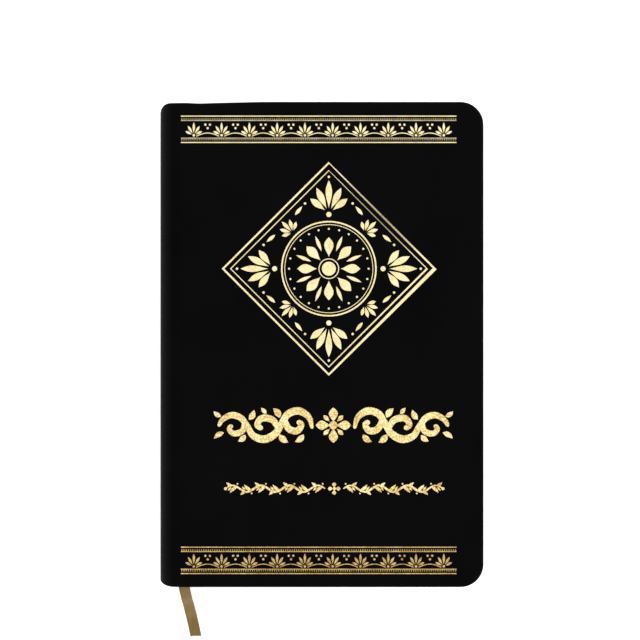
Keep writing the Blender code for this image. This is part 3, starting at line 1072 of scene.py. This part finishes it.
def medallion():
    foil = Foil("foil_medallion_filigree", (3.34 * MM, 34.65 * MM))
    lozenge(foil, LOZENGE_OUTER, 0.85)
    lozenge(foil, LOZENGE_INNER, 0.45)
    for radius, width in ((RING_RADIUS, 0.74), (RING_RADIUS - 1.35, 0.34)):
        foil.stroke(arc((0, 0), radius, 0, 345, steps=23), width, closed=True)
    daisy(foil)
    for quarter in range(4):
        medallion_corner(foil, quarter)
        medallion_side(foil, quarter)
    obj = foil.build(PALE_GOLD, "foil_medallion")
    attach(obj, "front_cover")


# The right half of the vine scroll: points and widths of its stem and curls, and its leaves
TITLE_SCROLLS = (
    ([(9.6, -1.6), (11.2, 3.6), (15.6, 6.5), (20.6, 5.2), (23.6, 0.8), (26.6, -3.9), (31.5, -6.4),
      (36.6, -4.8), (39.4, -0.4), (42.4, 3.4), (46.6, 4.6), (50.6, 2.6), (52.6, -0.6)],
     (1.4, 2.6, 3.4, 3.4, 3.0, 3.2, 3.6, 3.4, 2.8, 2.8, 3.0, 2.6, 1.6)),
    ([(22.4, 2.8), (20.4, -1.6), (16.6, -2.6), (14.6, 0.2), (16.6, 1.9)], (2.2, 3.0, 3.2, 2.8, 2.4)),
    ([(25.2, -1.6), (27.8, 2.4), (32.6, 3.2), (34.8, 0.2), (32.4, -1.8)], (2.2, 3.0, 3.2, 2.8, 2.4)),
    ([(40.6, 1.4), (41.6, -2.6), (45.4, -3.8), (47.6, -1.8), (46.2, 0.2)], (2.0, 2.6, 2.8, 2.4, 2.0)),
)
TITLE_LEAVES = (
    ((24.4, 3.4), (27.6, 7.7), 3.0, 0.1), ((24.6, -4.2), (20.6, -7.9), 3.0, 0.1),
    ((13.6, -4.2), (17.6, -7.6), 2.8, -0.12), ((38.6, 2.6), (36.2, 7.0), 2.8, 0.1),
    ((40.2, -4.4), (43.6, -7.4), 2.6, -0.1), ((50.0, -3.4), (54.6, -6.2), 2.4, 0.1),
    ((51.2, 4.0), (54.7, 6.4), 2.2, -0.1), ((30.6, 5.2), (33.0, 8.0), 2.0, 0.0),
)


def scroll_ornament():
    """A bold vine scroll either side of a flower, where the title line would be."""
    foil = Foil("foil_vine_ornament", (5.4 * MM, -36.9 * MM))
    for quarter in range(4):
        foil.placed_leaf([(0, 1.2), (0, 8.1)], 4.2, quarter, fullness=0.6)
        foil.placed_leaf([(1.6, 1.6), (4.5, 4.5)], 2.0, quarter, fullness=0.6)
    foil.spot(0, 0, 1.9)
    for mirror in (False, True):
        for points, widths in TITLE_SCROLLS:
            foil.stroke(turned(points, 0, mirror), widths)
        for start, stop, width, bend in TITLE_LEAVES:
            foil.placed_leaf([start, stop], width, 0, mirror, fullness=0.45, bend=bend)
    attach(foil.build(MOTTLED_GOLD, "foil_title_ornament"), "front_cover")


VINE_START, VINE_BEND, VINE_BENDS = 4.2, 6.5, 7
VINE_LEAVES = (((-2.4, 0.9), (1.2, -1.9), 1.5, 0.1), ((0.2, 1.4), (2.9, 2.9), 1.25, -0.1),
               ((0.6, 0.8), (2.2, -1.0), 0.9, 0.0))


def running_vine():
    """A thin waving vine with leaves in its bends, where the second line would be."""
    foil = Foil("foil_running_vine", (5.8 * MM, -65.9 * MM))
    for quarter in range(4):
        foil.placed_leaf([(0, 0.5), (0, 2.9)], 1.9, quarter, fullness=0.6)
    foil.spot(0, 0, 0.8)
    for mirror in (False, True):
        wave = [(VINE_START + VINE_BEND * step / 6, 1.45 * math.sin(math.pi * step / 6))
                for step in range(6 * VINE_BENDS + 1)]
        foil.stroke(turned(wave, 0, mirror), (0.6, 1.0, 1.0, 1.0, 0.6))
        foil.spot(*turned([(VINE_START + VINE_BEND * VINE_BENDS, 0)], 0, mirror)[0], 0.75)
        for number in range(VINE_BENDS):
            x, way = VINE_START + VINE_BEND * (number + 0.5), 1 if number % 2 == 0 else -1
            for first, last, width, curve in VINE_LEAVES:
                ends = [(x + first[0], way * first[1]), (x + last[0], way * last[1])]
                foil.placed_leaf(ends, width, 0, mirror, bend=curve * way)
            foil.spot(*turned([(x - 2.2, way * 2.2)], 0, mirror)[0], 0.42)
    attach(foil.build(MOTTLED_GOLD, "foil_lower_ornament"), "front_cover")


border_band("foil_head_filigree", "foil_band_head", 98.4 * MM, PALE_GOLD, DULL_GOLD)
border_band("foil_tail_filigree", "foil_band_tail", -98.7 * MM, DEEP_GOLD, DEEP_GOLD)
medallion()
scroll_ornament()
running_vine()

# ---------------------------------------------------------- carried CAD nodes
for node, material in {
    "back_board": BOARD, "front_board": BOARD,
    "kettle_stitch_head_back": THREAD, "kettle_stitch_head_front": THREAD,
    "kettle_stitch_tail_back": THREAD, "kettle_stitch_tail_front": THREAD,
}.items():
    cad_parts[node].data.materials.clear()
    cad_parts[node].data.materials.append(material)

# ------------------------------------------------------------------- stage
VIEW_CENTRE = Vector((-0.7, 11.2, 30.0)) * MM
VIEW_WIDTH = 292.6 * MM
CAMERA_HEIGHT = 2.4
SENSOR = 36.0


def camera():
    data = bpy.data.cameras.new("camera")
    data.sensor_width = SENSOR
    data.lens = SENSOR * CAMERA_HEIGHT / VIEW_WIDTH
    data.clip_end = 20.0
    obj = bpy.data.objects.new("camera", data)
    obj.location = VIEW_CENTRE + Vector((0, 0, CAMERA_HEIGHT))
    bpy.context.scene.collection.objects.link(obj)
    bpy.context.scene.camera = obj


def floor():
    bpy.ops.mesh.primitive_plane_add(size=6.0, location=(0, 0, -0.02 * MM))
    obj = bpy.context.active_object
    obj.name = "floor"
    nodes = Nodes("pale_floor")
    nodes.set(Base_Color=nodes.ramp(nodes.noise(6.0), (0.3, 0.86), (0.7, 0.88)))
    nodes.shader.inputs["Roughness"].default_value = 0.9
    nodes.shader.inputs["Specular IOR Level"].default_value = 0.1
    nodes.shader.inputs["Emission Color"].default_value = (1, 1, 1, 1)
    nodes.shader.inputs["Emission Strength"].default_value = 0.5
    obj.data.materials.append(nodes.material)


def area_light(name, place, size, power):
    data = bpy.data.lights.new(name, "AREA")
    data.shape = "RECTANGLE"
    data.size, data.size_y = size
    data.energy = power
    obj = bpy.data.objects.new(name, data)
    obj.location = place
    obj.rotation_mode = "QUATERNION"
    obj.rotation_quaternion = (Vector((0, 0, 0)) - Vector(place)).to_track_quat("-Z", "Y")
    bpy.context.scene.collection.objects.link(obj)


def studio():
    """Large soft lights low at the sides, and a dim white room."""
    world = bpy.data.worlds.new("room")
    bpy.context.scene.world = world
    world.use_nodes = True
    world.node_tree.nodes["Background"].inputs["Color"].default_value = (1, 1, 1, 1)
    world.node_tree.nodes["Background"].inputs["Strength"].default_value = 0.3
    area_light("soft_left", (-1.2, 0.2, 1.5), (1.6, 1.0), 12.0)
    area_light("soft_right", (1.5, 0.3, 0.9), (1.6, 1.0), 34.0)
    area_light("soft_head", (0.1, 1.6, 1.0), (1.6, 1.0), 20.0)
    area_light("soft_tail", (0.1, -1.6, 1.0), (1.6, 1.0), 16.0)


camera()
floor()
studio()
bpy.context.scene.view_settings.view_transform = "Standard"
